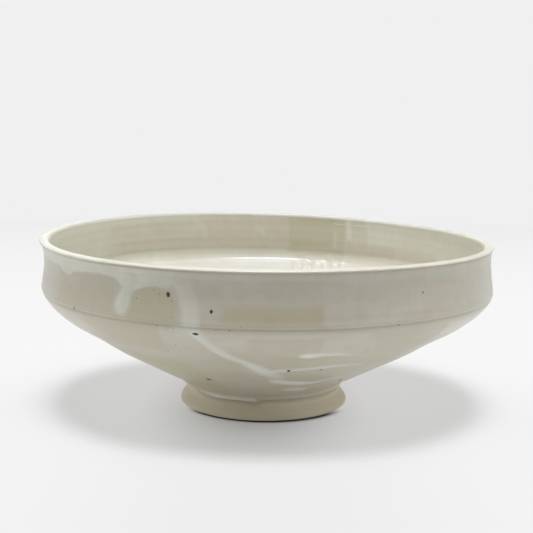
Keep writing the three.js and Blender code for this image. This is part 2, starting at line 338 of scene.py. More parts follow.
RIDGE_HEIGHT = 63.65  # incised line under the shoulder, on the bowl drawn level
RING_DEPTH = 0.46  # the throwing rings outside: half their depth, one crest and their pace
RING_TOP = 64.8
RING_PACE = 15.6
RIPPLE_PACE = 3.4  # pace of the fine ripples in the well
BACK_ROWS = 36  # rows of a coat's hidden side

# How the glaze lies outside. A zone is its left, right, low and high edge in degrees from the front
# and millimetres of height, how thick the glaze is (0 thin and tan, 1 thick and pale), how warm
# (-1 greenish, 1 pinkish), and how soft its edges are in millimetres.
COLLAR_ZONES = (
    (-66, -57.2, 66, 83, 0.55, 0, 2), (-57.2, -36, 66, 82, 0.3, 0.1, 1.6),
    (-56.8, -50.5, 66, 78, 0.42, 0.7, 1.6), (-49.8, -48.2, 68, 80, 0.38, -0.5, 1.2),
    (-38.5, -36.5, 68, 80, 0.36, -0.5, 1.2), (-15.5, -9.5, 66, 84, 0.56, -0.2, 2.4),
    (-9.5, 11.8, 73.5, 84, 0.56, 0.2, 4.2), (-9.5, 11.8, 65.4, 73.2, 0.06, 0, 4.2),
    (11.8, 70, 64.5, 84, 0.62, 0, 0.9), (28, 33, 82, 86, 0.6, 0.5, 2.4),
    (26, 34, 71.5, 74.5, 0.58, 0.5, 2.6), (36, 43, 67, 72, 0.55, 0.5, 2.6),
    (38, 51, 77.5, 81.5, 0.57, 0.5, 2.6), (14, 22, 66, 72, 0.55, -0.5, 2),
    (-58, 11.8, 64.4, 65.8, 0.42, 0.1, 0.8), (70, 112, 66, 83, 0.45, 0.1, 3),
    (118, 150, 66, 80, 0.25, -0.2, 1.4), (158, 196, 66, 82, 0.5, 0.3, 3),
    (-160, -128, 66, 81, 0.28, 0, 1.4), (-122, -90, 66, 82, 0.5, -0.3, 3),
)
WALL_ZONES = (
    (-24, -3, 51, 61.5, 0.66, 0, 4), (-46, -24.5, 47, 62, 0.24, 0.05, 4), (-46, -20, 18, 41, 0, -1, 7),
    (-4, 11.5, 49, 61, 0.42, 0.3, 4.5), (12.5, 24.5, 50, 60.5, 0.62, 0.3, 2.4),
    (25.5, 64, 30, 62, 0.42, -0.2, 3), (25, 36, 29, 36, 0.36, -0.8, 3), (46, 68, 38, 61, 0.8, -0.1, 5),
    (28, 44, 36, 50, 0.3, -0.5, 4), (1, 26, 27.5, 47.5, 0.28, -0.4, 4), (-70, -48, 30, 62, 0.54, -0.1, 4),
    # The zone from -13 to 22 degrees, 58.8 to 61.3 mm high, is a pale band under the incised line: a
    # painted highlight.
    (-13, 22, 58.8, 61.3, 0.66, 0.1, 1.2), (95, 130, 40, 62, 0.3, 0.1, 4), (150, 175, 35, 60, 0.62, 0.4, 4),
    (-150, -110, 34, 60, 0.34, -0.3, 4), (-180, 180, 8, 16.5, 0.3, 0.1, 3.5),
)

# The pale band under the lip: degrees from the front, the height of its lower edge and how thick it is
BAND_EDGE = (
    (-180, 82, 0.8), (-150, 84, 0.7), (-120, 82.2, 0.8), (-90, 83.4, 0.8), (-66, 82.6, 0.85),
    (-57.5, 82.4, 0.95), (-55.5, 80, 1), (-53.5, 78.9, 1), (-51.6, 79.2, 1), (-50.5, 81, 1),
    (-45, 82.3, 1.02), (-40, 83.3, 1), (-37, 82.8, 0.95), (-35, 81.4, 1), (-33.6, 78.8, 1.05),
    (-31.2, 77.2, 1.05), (-29.4, 77.8, 1.02), (-27, 79.3, 0.96), (-24.4, 79.8, 0.88), (-22, 79.6, 0.84),
    (-20.4, 81.5, 0.84), (-16, 84.7, 0.72), (-10, 84, 0.7), (0, 84.6, 0.62), (12, 84.6, 0.66),
    (16, 83, 0.72), (22, 81.6, 0.74), (28, 83.5, 0.66), (50, 83, 0.68), (66, 83.6, 0.7), (95, 82.6, 0.8),
    (125, 84.2, 0.7), (155, 82.8, 0.8), (180, 82, 0.8),
)

# Runs: how thick, all along or at even steps, how warm, how far the run stands up in millimetres, and
# a path of degrees, heights and half widths in millimetres
COLLAR_RUNS = (
    (0.2, 0, 0, ((-25.2, 58, 11.4), (-25.3, 64, 11.4), (-25.4, 67.8, 11))),
    ((0.98, 1, 1.04, 1.08), 0, 0.45, (
        (-30.4, 82.4, 3.4), (-31.1, 80, 3.2), (-31.7, 78, 3), (-32.3, 75.6, 3.3), (-32.8, 73.2, 4),
        (-33.1, 71, 4.5), (-33.2, 69.8, 4.2),
    )),
    ((0.8, 0.82, 0.87, 0.92, 0.92), 0, 0.3, (
        (-18.3, 84.6, 4), (-17.9, 81, 4.3), (-17.2, 77, 4.3), (-16.7, 73, 4.1), (-16.3, 69, 4),
        (-15.9, 63, 3.8),
    )),
    (0.6, -0.2, 0, ((-19.2, 84.4, 2.2), (-18.4, 83.4, 1.8))),
    (0.95, 0, 0.35, ((136, 86, 3), (137.5, 80, 2.6), (138, 74, 3), (137.5, 69.5, 3.4))),
    (0.9, 0, 0.3, ((-143, 86, 4), (-142, 78, 3.2), (-140.5, 70, 3.6), (-139.5, 63, 3.2))),
    (0.92, 0, 0.35, ((84, 86, 3.2), (83, 81, 2.4), (82.5, 75, 2.8))),
)
WALL_RUNS = (
    ((0.74, 0.62, 0.4, 0.25, 0.2), -0.1, 0, (
        (-19.2, 60.8, 3.6), (-18.8, 57, 6), (-18.4, 53, 8.4), (-17.8, 49, 9.8), (-16.6, 44, 10.6),
        (-14, 39, 10.4), (-12, 35, 9),
    )),
    (0.88, 0, 0.3, ((-15.9, 64.4, 4), (-15.5, 62.4, 3.7), (-15.1, 60.4, 3.2))),
    (1.05, 0, 0.5, (
        (-15, 60.6, 2.7), (-13.8, 57.2, 2.8), (-12.5, 54, 2.9), (-10.8, 50.6, 3), (-8.5, 47, 3.1),
        (-5.5, 43.2, 3.3), (-2.5, 39.6, 3.8), (0, 37, 4.2), (2, 34.6, 3.6), (3.8, 31.6, 2.6),
    )),
    ((0.98, 0.8, 0.7, 0.95), 0, 0.1, ((1, 36, 3.8), (3.4, 33.4, 4.6), (4.8, 30.4, 4), (5.4, 28, 2.8))),
    ((0.98, 0.95, 1, 1, 0.75), 0.15, 0.45, (
        (0.6, 36.4, 2.8), (5, 37.3, 2.6), (10, 38, 2.5), (15, 38.6, 2.4), (20, 39.3, 2.3), (24, 39.4, 2),
        (31, 38.9, 1.6),
    )),
    (1.3, 0, 0.5, ((9.8, 49, 3), (11.2, 48.9, 3.4), (12.8, 49.1, 2.8))),
    ((1.2, 1, 0.6), 0, 0.3, ((12, 49.3, 2.1), (16.6, 49.3, 1.9), (21, 48.6, 1.7), (26, 47.8, 1.3))),
    (1.08, 0, 0.45, (
        (4.4, 27.7, 2.8), (7.6, 27, 3.7), (12, 26.1, 3.8), (16, 25.4, 3.4), (20, 25.1, 2.9),
        (24, 25.4, 2.3),
    )),
    ((0.95, 0.85, 0.75), 0, 0.4, ((23, 25.4, 2.1), (28, 26.9, 1.9), (33, 28.8, 1.6))),
    (1.1, 0, 0.2, ((13, 19.6, 2.8), (17, 19.2, 3.5), (22.4, 18.9, 2.5))),
    (0.6, 0, 0.1, ((22.6, 60.2, 1.4), (24.4, 56, 1.8), (26.4, 51.5, 1.6))),
    (0.6, 0, 0.1, ((-51, 60, 1.8), (-47, 55, 2.2), (-42, 50, 1.8))),
    (0.95, 0, 0.5, (
        (-139.4, 63.4, 3.4), (-137.5, 56, 3), (-134, 48, 3), (-131.5, 40, 3.2), (-130, 33, 2.4),
    )),
    (0.92, 0, 0.45, ((152, 45, 3), (158, 43.5, 2.7), (165, 43, 2.4), (172, 44, 2))),
    (0.92, 0, 0.45, ((96, 58, 2.2), (98.5, 50, 2.8), (101.5, 42, 3), (103, 34, 2.4))),
)

# How the glaze lies in the well, with degrees from the back towards +X
WELL_ZONES = (
    (-180, 180, 64.5, 71, 0.56, 0, 1.5), (-64, -24, 84.6, 87.6, 0.76, -0.5, 1.6),
    (-68, -22, 79, 84, 0.58, 0.05, 1.6), (-68, -20, 72.6, 74.4, 0.44, 0.35, 1.2),
    (-68, -20, 67.4, 71, 0.56, 0.2, 1.4), (-70, 6, 65.2, 67.4, 0.72, -0.5, 1),
    # The pale zone from -120 to -56 degrees on the upright wall is paler partly as painted light, lifting
    # the shade at the left of the well.
    (-120, -56, 66, 98, 0.86, -0.35, 16), (-22, 7, 68.4, 87, 0.6, 0.4, 1.6),
    (6.8, 25.5, 65, 90, 0.36, -0.5, 0.7), (8, 20, 69, 73.4, 0.1, -0.4, 1.4),
    # The pale zones right of 25.5 degrees on the upright wall are partly painted reflections of soft
    # upright light.
    (10, 22, 84.8, 87.4, 0.12, -0.5, 1), (25.5, 35, 72, 90, 0.72, 0, 0.9), (34, 125, 66, 90, 0.96, 0, 7),
    (38, 62, 66.5, 72.5, 0.7, 0.25, 7), (26, 44, 66.5, 73, 0.52, 0.3, 3),
    (125, 250, 66, 90, 0.75, -0.1, 12), (-180, 180, 8, 62.5, 0.74, -0.05, 1.2),
    (-110, -34, 40, 63, 0.98, 0.1, 14), (25.5, 80, 50, 63, 0.7, 0.1, 1), (110, 250, 30, 62, 0.7, 0.2, 6),
)
WELL_RUNS = (
    (0.72, -0.6, 0.1, ((-25, 87, 3.4), (-23.6, 83, 2.8), (-21.8, 79, 3.6), (-21.4, 76, 2.4))),
    (0.8, -0.9, 0.15, ((-3.8, 79.6, 2.4), (-2.6, 78, 2.8), (-2, 77, 2.2))),
    (0.62, -0.3, 0.1, ((22, 79.4, 1.4), (22.2, 75, 1.6), (22, 70, 1.3))),
    # The pale runs at 26.9 and 33.4 degrees are painted reflections: soft upright streaks of light on the
    # wall.
    (0.95, -0.1, 0, ((26.9, 88, 1.7), (26.9, 83, 1.9), (27.2, 77.6, 1.7))),
    (0.95, -0.2, 0, ((33.4, 88, 2.1), (34.2, 82, 2.1), (34.9, 76, 2))),
)


def wave(angles, heights, seed, count=7):
    """A slow wandering between about -1 and 1 over angle and height: a sum of random sines."""
    rng = np.random.default_rng(seed)
    total = 0
    for _ in range(count):
        turns = rng.integers(1, 5)
        size, pace, start = rng.uniform(0.5, 1), rng.uniform(0.4, 1), rng.uniform(0, 6.3)
        total = total + size * np.sin(turns * np.radians(angles) + heights * pace / 6 + start)
    return total / count * 1.6


def rambling(angles, heights, size, seed):
    """An uneven wandering between about -1 and 1: a sum of twelve sines in random directions over the
    unrolled surface, with waves about the given size in millimetres."""
    rng = np.random.default_rng(seed)
    total = 0
    for _ in range(12):
        pace = rng.uniform(0.5, 1.8) / size * 2 * np.pi
        way = rng.uniform(0, 2 * np.pi)
        turns = round(pace * math.cos(way) * RIM)
        climb = pace * math.sin(way)
        total = total + np.sin(turns * np.radians(angles) + climb * heights + rng.uniform(0, 6.3))
    return total / 3.5


def eased(share):
    """0 below 0 and 1 above 1, with a smooth rise between."""
    share = np.clip(share, 0, 1)
    return share * share * (3 - 2 * share)


class Coat:
    """How a coat of glaze lies over a grid of angles and distances along an outline: how thick and
    how warm it is and how far its runs stand up. Zones and runs are laid over each other in turn."""

    def __init__(self, outline, angles, distance, thick, seed):
        self.outline = outline
        self.angles = angles + 0 * distance
        self.distance = distance
        self.radius, self.heights = outline.read(distance)
        self.thick = thick + 0 * distance
        self.warm = 0 * distance
        self.lift = 0 * distance
        self.aside = rambling(self.angles, self.heights, 24, seed) * 0.5
        self.above = rambling(self.angles, self.heights, 28, seed + 1) * 0.5

    def lay(self, share, thick, warm, where=slice(None)):
        """Brings the coat a share of the way to a thickness and a warmth."""
        self.thick[where] += share * (thick - self.thick[where])
        self.warm[where] += share * (warm - self.warm[where])

    def zones(self, rows):
        """Each zone is the product of four eased edges, which wander a little."""
        for left, right, low, high, thick, warm, soft in rows:
            middle, half = (left + right) / 2, (right - left) / 2
            turned = signed(self.angles - middle)
            across = np.radians(half - np.abs(turned)) * self.radius
            across = across + self.aside * min(soft, 1.5) if half < 179 else 99 + 0 * across
            up = np.minimum(self.heights - low, high - self.heights) + self.above * min(soft, 1.5) * 0.6
            self.lay(eased(across / soft + 0.5) * eased(up / soft + 0.5), thick, warm)

    def runs(self, rows):
        """Each run is its path swept by its width, laid on fully inside a share of it, and as thick
        as it is at the nearest place of the path. It stands up by its lift times (1 - q squared) to
        the power 1.5 over the share q of the half width."""
        for thick, warm, lift, path in rows:
            path = np.array(path, float)
            line = self.outline
            marks = np.interp(path[:, 1], line.points[:, 1], line.marks)
            t = np.linspace(0, 1, 60)
            knots = np.linspace(0, 1, len(path))
            columns = (path[:, 0], marks, path[:, 2])
            angle, mark, half = (curve_through(knots, column, t) for column in columns)
            middle = path[:, 0].mean()
            reach = np.ptp(path[:, 0]) / 2 + 12
            near = np.abs(signed(self.angles - middle)) < reach
            near &= np.abs(self.distance - mark.mean()) < np.ptp(mark) / 2 + 16
            best, place = np.full(near.sum(), 9.0), np.zeros(near.sum())
            for k in range(len(t)):
                across = np.radians(signed(self.angles[near] - angle[k])) * self.radius[near]
                share = np.hypot(across, self.distance[near] - mark[k]) / half[k]
                place = np.where(share < best, t[k], place)
                best = np.minimum(best, share)
            width = path[:, 2].mean()
            best = best + (self.aside[near] * 0.35) / width
            soft = min(0.85, 2.8 / width)
            along = np.interp(place, np.linspace(0, 1, np.size(thick)), np.atleast_1d(thick))
            self.lay(eased((1.3 - best) / soft), along, warm, near)
            self.lift[near] = np.maximum(self.lift[near], lift * np.clip(1 - best ** 2, 0, 1) ** 1.5)

    def mesh(self, name, lift, depth, capped=False, **more):
        """The coat as a closed surface: its rows moved off the line by a lift, then the rows of its
        hidden side, which run back to its first row at a depth. Those of a capped one run backwards."""
        ends = self.distance.mean(axis=1)
        back = np.linspace(ends[-1] - 0.4, ends[0] + 0.4, BACK_ROWS)[:, None] + 0 * ANGLES
        sides = zip(self.outline.read(self.distance, lift), self.outline.read(back, -depth))
        step = -1 if capped else 1
        radius, height = (np.concatenate(side)[::step] for side in sides)
        values = padded({"thick": self.thick, "warm": self.warm, "rise": self.heights, **more}, BACK_ROWS)
        values = {label: rows[::step] for label, rows in values.items()}
        return surface(name, radius, height, ANGLES, values, capped)


def curve_through(knots, values, t):
    """A smooth curve through values at even knots: cubic pieces with the slopes of their neighbours."""
    slopes = np.gradient(values, knots)
    k = np.clip(np.searchsorted(knots, t, side="right") - 1, 0, len(knots) - 2)
    step = knots[1] - knots[0]
    u = (t - knots[k]) / step
    return (
        (2 * u ** 3 - 3 * u ** 2 + 1) * values[k] + (u ** 3 - 2 * u ** 2 + u) * step * slopes[k]
        + (3 * u ** 2 - 2 * u ** 3) * values[k + 1] + (u ** 3 - u ** 2) * step * slopes[k + 1]
    )


def throwing(heights, angles):
    """Throwing rings on the wall, a cosine of the height that dies out downwards, and finer lines
    all over."""
    deep = RING_DEPTH * np.clip((heights - 22) / 40, 0, 1)
    fade = np.clip((BELLY_HEIGHT + 1.5 - heights) / 6, 0, 1)
    place = heights - RING_TOP - 0.35 * wave(angles, heights, 3)
    lines = 0.035 * wave(angles, heights * 9, 5) + 0.03 * wave(angles, heights * 17, 8)
    return deep * fade * np.cos(2 * np.pi * place / RING_PACE) + lines


def ridge(heights, angles):
    """The incised line: a narrow groove with a low round ridge over it, two bell curves."""
    place = RIDGE_HEIGHT + 0.12 * wave(angles, 0, 11)
    return -0.14 * bell(heights, place, 0.6) + 0.2 * bell(heights - place, 1.6, 1)


def outside_relief(coat):
    """How far the outside stands off its line: rings, incised line, a faint wandering and the runs."""
    relief = throwing(coat.heights, coat.angles) + ridge(coat.heights, coat.angles)
    return relief + 0.05 * wave(coat.angles, coat.heights * 0.7, 21, 9) + coat.lift


OUTSIDE = outer_outline()
WELL = well_outline(OUTSIDE)
LIP = lip_outline(WELL)
FOOT_LINE = foot_outline()
ANGLES = round_the_bowl(740)
SEAM = OUTSIDE.at_height(RIDGE_HEIGHT)


def collar_glaze():
    """The outer coat from the incised line up to the crease: the outside's line turned about the axis
    and moved out by its relief, which fades out at the crease."""
    rows = spaced(92, OUTSIDE.length - SEAM, ((0, 2, 2), (OUTSIDE.length - SEAM, 1.2, 2)))
    distance = SEAM + rows[:, None] + 0 * ANGLES
    coat = Coat(OUTSIDE, signed(ANGLES), distance, 0.5, 101)
    coat.zones(COLLAR_ZONES)
    coat.runs(COLLAR_RUNS[:1])
    edge, band = (column_at(BAND_EDGE, coat.angles, column) for column in (1, 2))
    coat.lay(eased((coat.heights - edge + coat.above * 0.5) / 1.6 + 0.5), band, -0.05)
    coat.runs(COLLAR_RUNS[1:])
    near_crease = np.clip((OUTSIDE.length - distance) / 1.2, 0, 1)
    lift = outside_relief(coat) * near_crease - 0.25 * (1 - near_crease)
    return coat.mesh("collar_glaze", lift, 1.3, turn=coat.angles)


def wall_glaze():
    """The outer coat from its lower edge up to the incised line: the outside's line turned about the
    axis and moved out by its relief. Its edge is a quarter round with a bell curve on it, the roll,
    which is highest left of the front."""
    grid = signed(ANGLES)
    edge_height = column_at(GLAZE_EDGE, grid) + 0.1 * wave(ANGLES * 6, 0, 31)
    edge = np.interp(edge_height, OUTSIDE.points[:, 1], OUTSIDE.marks)
    rows = spaced(96, 1, ((0, 0.02, 6), (1, 0.02, 5)))
    distance = edge + (SEAM - edge) * rows[:, None]
    coat = Coat(OUTSIDE, grid, distance, 0.38, 201)
    coat.zones(WALL_ZONES)
    coat.runs(WALL_RUNS)
    from_edge = distance - edge
    left = eased((grid + 54) / 22) * eased((-3.4 - grid) / 2.4)
    coat.lay(bell(from_edge, 4.3, 0.9) * 0.7, 0, 0)
    # The roll is laid paler, most left of the front: thick glaze, and partly a painted highlight where its
    # glossy round catches light.
    coat.lay(bell(from_edge, 1.9, 1.5) * (0.2 + 0.7 * left), 1.05, 0.2)
    full = np.clip(from_edge / 1.1, 0, 1)
    thickness = COAT * np.sqrt(1 - (1 - full) ** 2)
    roll = (0.35 + 0.65 * left) * bell(from_edge, 1.45, 1.15)
    lift = thickness - COAT + roll * full + outside_relief(coat) * full
    return coat.mesh("wall_glaze", lift, 1, turn=coat.angles)


def well_coat(distance):
    """The inner coat's thickness and warmth over distances along the well's line."""
    coat = Coat(WELL, signed(180 - ANGLES), distance, 0.64, 301)
    coat.zones(WELL_ZONES)
    coat.runs(WELL_RUNS)
    return coat


def well_glaze():
    """The inner coat: the well's line turned about the axis, with fine ripples, a sine of the distance
    along it, an uneven patch at the back right, broad waves, and level lines on the upright wall."""
    rows = spaced(96, WELL.length - 0.6, ((WELL.at_height(58), 9, 2.2), (WELL.length, 6, 0.6)))[:, None]
    distance = rows + 0.6 + 0 * ANGLES
    coat = well_coat(distance)
    grid, heights = coat.angles, coat.heights
    cone = np.clip((63.5 - heights) / 3, 0, 1) * np.clip(coat.radius / 20, 0, 1)
    ripples = 0.085 * cone * np.sin(2 * np.pi * (distance + 0.9 * wave(grid, heights, 41)) / RIPPLE_PACE)
    patch = eased((grid - 7) / 3) * eased((27 - grid) / 2) * eased((heights - 40) / 12)
    ripples += 0.26 * cone * rambling(grid, distance, 10, 49) * patch
    ripples += 0.22 * cone * wave(grid * 3, heights * 2, 43) + 0.12 * wave(grid, heights * 1.6, 47)
    ripples += 0.07 * np.sin(2 * np.pi * (heights + 0.5 * wave(grid, heights, 45)) / 5.2) * (heights > 64)
    near_lip = np.clip((WELL.length - distance) / 2, 0, 1)
    return coat.mesh("well_glaze", -(ripples + coat.lift) * near_lip, -1, capped=True)


def lip_glaze():
    """The lip's bead: its section turned about the axis and moved out by two waves, with a lower edge
    that hangs a little at the left. It takes the well's colour down its inner side."""
    distance = spaced(64, LIP.length)[:, None] + 0 * ANGLES
    grid = signed(ANGLES) + 0 * distance
    radius, heights = LIP.read(distance)
    full = np.clip(np.minimum(distance, LIP.length - distance) / 1.5, 0, 1)
    uneven = 0.07 * wave(grid * 2, distance * 2, 51) + 0.04 * wave(grid * 9, distance * 3, 53)
    inner = well_coat(WELL.length - 2 + 0 * ANGLES[None, :])
    inwards = eased(RIM - 3.9 - radius)
    outer, inner_half = (column_at(LIP_THICK, grid, column) for column in (1, 2))
    thick = outer + eased((RIM - 1.7 - radius) / 1.1) * (inner_half - outer)
    # The outer round is made a little darker, a painted shade where the bead turns down.
    thick = thick - 0.12 * eased((radius - RIM + 1.1) / 0.9) + inwards * (inner.thick - thick)
    warm = inwards * inner.warm
    # Brown on the bead's underside near the crease: painted shade where the lip turns under.
    brown = eased((CREASE_HEIGHT + 0.8 - heights) / 0.8) * (radius > RIM - 2)
    radius, height = LIP.read(distance, uneven * full)
    hangs = 0.6 * eased((grid + 108) / 16) * eased((-34 - grid) / 16)
    height = height - hangs * eased(RIM_MEAN - 0.8 - heights) * (radius > RIM - 2)
    radius = np.r_[radius, radius[-1:] + 0.6, radius[:1] - 0.5]
    height = np.r_[height, height[-1:], height[:1] - 1]
    attributes = padded({"thick": thick, "warm": warm, "rise": heights, "brown": brown}, 2)
    return surface("lip_glaze_bead", radius, height, ANGLES, attributes)


def foot_ring():
    """The bare foot ring: its section turned about the axis, with turning lines, a sine of the height,
    and a brown band under the glaze's edge, mostly painted shade with some flashing of the clay."""
    angles = round_the_bowl(720)
    rows = spaced(110, FOOT_LINE.length, ((FOOT_LINE.length * 0.75, 12, 1.5),))
    distance = rows[:, None] + 0 * angles
    grid = signed(angles) + 0 * distance
    radius, heights = FOOT_LINE.read(distance)
    worked = np.clip(heights / 1.5, 0, 1)
    lines = 0.035 * np.sin(2 * np.pi * (heights + 0.06 * wave(grid, heights, 61)) / 0.9)
    lines = (lines + 0.05 * wave(grid, heights * 6, 63)) * worked
    edge = column_at(GLAZE_EDGE, grid)
    # Painted shade below the glaze's edge, partly flashing of the clay, fading over 2.8 mm.
    flash_and_shade = eased((heights - edge) / 2.8 + 1) * (radius > WAIST - 1)
    radius, height = FOOT_LINE.read(distance, lines)
    return surface("turned_foot_ring", radius, height, angles, {"flash_and_shade": flash_and_shade})


def clay_body():
    """The thrown body: the lines of outside and well, moved in under the coats and turned about the
    axis. Its underside has a fine spiral, a sine of radius and angle, and a bell curve, the nib."""
    angles = round_the_bowl(240)
    out = np.linspace(OUTSIDE.at_height(JOINT_HEIGHT) + 1, OUTSIDE.length - 0.5, 50)[:, None]
    outer_r, outer_z = OUTSIDE.read(out + 0 * angles, -1.2)
    inside = np.linspace(WELL.length - 0.5, 2, 50)[:, None]
    inner_r, inner_z = WELL.read(inside + 0 * angles, 1.2)
    inner_z = np.minimum(inner_z, outer_z[-1:])
    under_r = np.linspace(1.5, outer_r[0, 0] - 0.6, 60)[:, None] + 0 * angles
    spiral = np.sin(2 * np.pi * (under_r / 3.1 - angles / 360))
    nib = -0.9 * bell(under_r, 0, 3)
    under_z = RECESS_HEIGHT + np.where(under_r < RECESS, 0.07 * spiral + nib, 0.9)
    slope = math.tan(math.radians(FOOT_SLOPE))
    under_z = np.maximum(under_z, outer_z[:1] - (outer_r[:1] - under_r) * slope)
    crest = (outer_r[-1:] + inner_r[:1]) / 2
    radius = np.r_[under_r, outer_r, crest, inner_r]
    height = np.r_[under_z, outer_z, outer_z[-1:] + 1, inner_z]
    return surface("thrown_clay_body", radius, height, angles, capped=True)


def slip_seam():
    """The thin bed of slip, squeezed out into the recess: an ellipse turned about the axis, whose
    radius wanders."""
    angles = round_the_bowl(360)
    turn = np.linspace(0, 360, 12, endpoint=False)
    section = arc((RECESS + 0.4, RECESS_HEIGHT + 0.05), 0.75, 0.4, 0, 330, 12)
    radius = section[:, :1] + 0.12 * wave(angles, turn[:, None], 71)
    return surface("squeezed_slip", radius, section[:, 1:], angles)


# Materials

class Value:
    """A socket's value. The operators add Math nodes to its tree."""

    def __init__(self, tree, socket):
        self.tree = tree
        self.socket = socket

    def math(self, operation, *values):
        return self.tree.node("Math", {"operation": operation}, dict(enumerate((self, *values))))

    __add__ = __radd__ = partialmethod(math, "ADD")
    __mul__ = __rmul__ = partialmethod(math, "MULTIPLY")
    __sub__ = partialmethod(math, "SUBTRACT")
    __truediv__ = partialmethod(math, "DIVIDE")
    larger = partialmethod(math, "MAXIMUM")

    def __rsub__(self, other):
        return self * -1 + other

    def squared(self):
        return self * self

    def swing(self, amount):
        """How far a noise swings from its middle, times an amount."""
        return (self - 0.5) * amount

    def between(self, low, high, kind="SMOOTHSTEP"):
        """0 at low and 1 at high, smooth between or of another kind, and held at both ends."""
        return self.tree.node("MapRange", {"interpolation_type": kind}, {0: self, 1: low, 2: high})

    def line(self, low, high):
        return self.between(low, high, "LINEAR")

    def bump_at(self, place, reach):
        """1 at a place, falling to 0 at a reach from it."""
        return (self - place).math("ABSOLUTE").between(reach, 0)


class Tree:
    """The nodes of a material or of the world."""

    def __init__(self, owner):
        owner.use_nodes = True
        self.owner = owner
        self.nodes = owner.node_tree.nodes
        self.links = owner.node_tree.links
        self.nodes.clear()

    def node(self, kind, settings=None, sockets=None, output=0):
        """One node: its settings, then the values or links of its sockets. Returns one of its outputs."""
        made = self.nodes.new("ShaderNode" + kind)
        for label, value in (settings or {}).items():
            setattr(made, label, value)
        for label, value in (sockets or {}).items():
            if isinstance(value, Value):
                self.links.new(value.socket, made.inputs[label])
            else:
                made.inputs[label].default_value = value
        return None if output is None else Value(self, made.outputs[output])

    def place(self):
        """Object coordinates in millimetres."""
        spot = self.node("TexCoord", output=3)
        return self.node("VectorMath", {"operation": "SCALE"}, {0: spot, 3: 1 / MM})

    def attribute(self, label):
        return self.node("Attribute", {"attribute_name": label}, output=2)

    def parts(self, vector):
        split = self.node("SeparateXYZ", None, {0: vector})
        outputs = split.socket.node.outputs
        return [Value(self, outputs[k]) for k in range(3)]

    def vector(self, x, y, z):
        return self.node("CombineXYZ", None, {0: x, 1: y, 2: z})

    def noise(self, vector, size, detail=3, roughness=0.5, warp=0):
        """Noise from 0 to 1 with patches about the given size."""
        sockets = {"Scale": 1 / size, "Detail": detail, "Roughness": roughness, "Distortion": warp}
        return self.node("TexNoise", None, {"Vector": vector, **sockets})

    def spots(self, vector, spacing, radius, share, soft=0.35):
        """Round spots: cells of the given spacing, of which a share has a spot of up to a radius."""
        sockets = {"Vector": vector, "Scale": 1 / spacing, "Randomness": 1}
        distance = self.node("TexVoronoi", {"feature": "F1"}, sockets)
        pick = self.parts(Value(self, distance.socket.node.outputs[1]))
        has = pick[0].between(1 - share, 1 - share + 0.02)
        reach = (pick[1] * 0.7 + 0.3) * (radius / spacing)
        return has * (distance / reach).between(1, 1 - soft)

    def mix(self, share, first, second, mode="MIX"):
        settings = {"data_type": "RGBA", "blend_type": mode}
        return self.node("Mix", settings, {0: share, 6: first, 7: second}, output=2)

    def show(self, shader, end="OutputMaterial"):
        self.node(end, None, {0: shader}, output=None)

    def finish(self, colour, rough, height, strength, reach=1):
        """Ends in one Principled shader with a bump of a reach in millimetres. Returns the material."""
        bump = self.node("Bump", None, {"Height": height, "Strength": strength, "Distance": reach * MM})
        sockets = {"Base Color": colour, "Roughness": rough, "Normal": bump}
        self.show(self.node("BsdfPrincipled", None, sockets))
        return self.owner


def begun(name):
    """A new material's tree, its place in millimetres as a vector, and the vector's three parts."""
    tree = Tree(bpy.data.materials.new(name))
    spot = tree.place()
    return tree, spot, *tree.parts(spot)


def tint(red, green, blue):
    return (red, green, blue, 1)


# Colours of glaze and clay
TAN = tint(0.5, 0.452, 0.316)  # where the glaze is thin over the beige clay
MID = tint(0.55, 0.52, 0.425)
PALE = tint(0.66, 0.65, 0.56)  # where it lies thick
CREAM = tint(0.75, 0.745, 0.68)
GREENISH = tint(0.955, 1, 0.935)  # what a cool and a warm patch multiply the colour by
PINKISH = tint(1.035, 0.975, 0.945)
IRON = tint(0.04, 0.03, 0.015)
CLAY = tint(0.735, 0.67, 0.53)
CLAY_DARK = tint(0.605, 0.55, 0.415)
CLAY_DOT = tint(0.16, 0.11, 0.06)
# Brown under the glaze's edge on the foot: mostly painted shade, with some flashing of the clay.
FLASH_AND_SHADE_BROWN = tint(0.4, 0.35, 0.25)
LINE_BROWN = tint(0.3, 0.265, 0.18)  # of the incised line, and of the crease, where it is partly painted shade
LIP_UNDERSIDE_SHADE = tint(0.33, 0.29, 0.2)  # of the lip's lower edge, where it turns under into the crease: painted shade
LIP_COOL = tint(0.68, 0.695, 0.7)  # of the lip at the back
SPOT_OUTSIDE = tint(0.27, 0.21, 0.13)  # of the fine spots in the glaze
SPOT_INSIDE = tint(0.3, 0.24, 0.15)


# Iron specks: degrees from the front, height, half width and half height in millimetres
SPECKS = (
    (-21.5, 77.1, 0.95, 1.15), (-11.75, 71, 0.8, 0.85), (-15.2, 60.7, 1.35, 0.7), (7.6, 37.8, 0.95, 0.6),
    (-22.6, 26.8, 1.5, 0.65), (36.2, 76.8, 0.35, 0.5), (-49, 64.4, 0.6, 0.5), (-23.9, 63.1, 0.28, 0.22),
    (-51.6, 73.9, 0.3, 0.35), (-21, 53.5, 0.3, 0.25), (-20.1, 62.5, 0.25, 0.2), (-10.6, 63.1, 0.22, 0.2),
    (-7.7, 63.2, 0.25, 0.2), (-5.4, 65, 0.25, 0.2), (29.4, 63.5, 0.42, 0.24), (18.2, 37, 0.6, 0.4),
    (38.9, 23.4, 0.9, 0.7), (-25, 78.4, 0.24, 0.22), (-23.6, 77, 0.2, 0.2), (-20.6, 74.4, 0.24, 0.2),
    (-20.3, 67.1, 0.2, 0.22), (-29.4, 74.1, 0.25, 0.25),
)


def iron_specks(tree, angle, rise, radius, spot):
    """The larger specks, each an uneven ellipse at its own place."""
    wobble = tree.noise(spot, 0.8, 2).swing(0.9)
    mask = None
    for place, height, across, up in SPECKS:
        beside = (angle - place) * (radius * (math.pi / 180 / across))
        above = (rise - height) * (1 / up)
        distance = (beside.squared() + above.squared()).math("SQRT") + wobble
        speck = distance.between(1.15, 0.75)
        mask = speck if mask is None else mask.larger(speck)
    return mask


